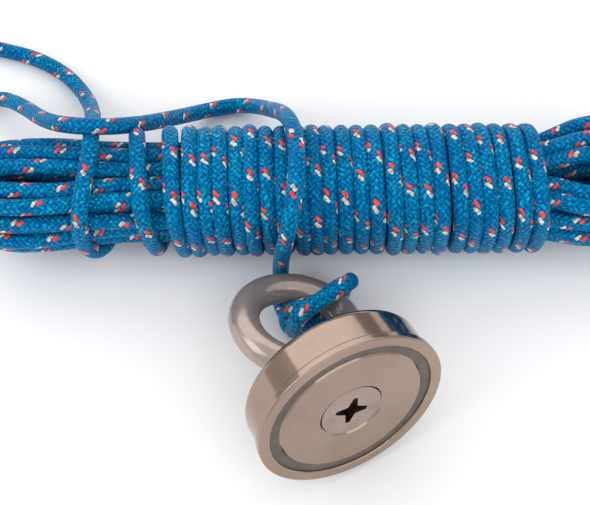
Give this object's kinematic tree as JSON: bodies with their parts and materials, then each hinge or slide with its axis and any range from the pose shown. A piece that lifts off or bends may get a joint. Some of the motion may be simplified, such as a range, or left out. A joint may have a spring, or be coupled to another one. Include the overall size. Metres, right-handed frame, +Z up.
{
  "type": "magnet fishing magnet",
  "caption": "Round pot magnet with a countersunk screw into a ring-shaped eye nut, tied to a braided blue rope wound into a hank with a free loop.",
  "frame": {"origin": "on the surface that the object lies on, under the middle of the magnet and its eye", "axes": "+Z up, +X along the hank to the right, +Y from the magnet's face back towards the hank"},
  "size_m": [0.2111, 0.1334, 0.0483],
  "materials": {
    "nickel_plate": "bright warm nickel plating",
    "polished_steel": "polished steel",
    "zinc_steel": "zinc plated",
    "potting_resin": "matt resin",
    "rope_blue": "braided blue polypropylene with orange and cream tracers"
  },
  "bodies": {
    "rope": {"hank_core": "rope_blue", "hank_wraps": "rope_blue", "loose_wrap_left": "rope_blue", "loose_wrap_right": "rope_blue", "hank_end_left": "rope_blue", "hank_end_right": "rope_blue", "rope_loop": "rope_blue", "rope_lead": "rope_blue"},
    "eye": {"eye_nut": "polished_steel", "rope_knot": "rope_blue", "rope_tail": "rope_blue"},
    "washer": {"lock_washer": "zinc_steel"},
    "magnet": {"steel_cup": "nickel_plate", "magnet_disc": "nickel_plate", "potting_ring": "potting_resin", "countersunk_screw": "nickel_plate"}
  },
  "joints": [
    {"name": "eye_swing", "type": "hinge", "parent": "rope", "child": "eye", "pos_m": [-0.01446, 0.02275, 0.01028], "axis": [-0.8787, -0.2954, 0.3749], "range_deg": [0, 22], "deforming": ["rope_lead"]},
    {"name": "thread_travel", "type": "slide", "parent": "eye", "child": "washer", "axis": [0.4269, -0.8378, 0.3404], "range_m": [0, 0.0075]},
    {"name": "thread_turn", "type": "hinge", "parent": "washer", "child": "magnet", "pos_m": [0.00445, -0.01437, 0.02536], "axis": [0.4269, -0.8378, 0.3404], "range_deg": [0, 2160]}
  ],
  "couplings": [
    {"joint": "thread_travel", "follows": "thread_turn", "m_per_rad": 0.00019892}
  ]
}
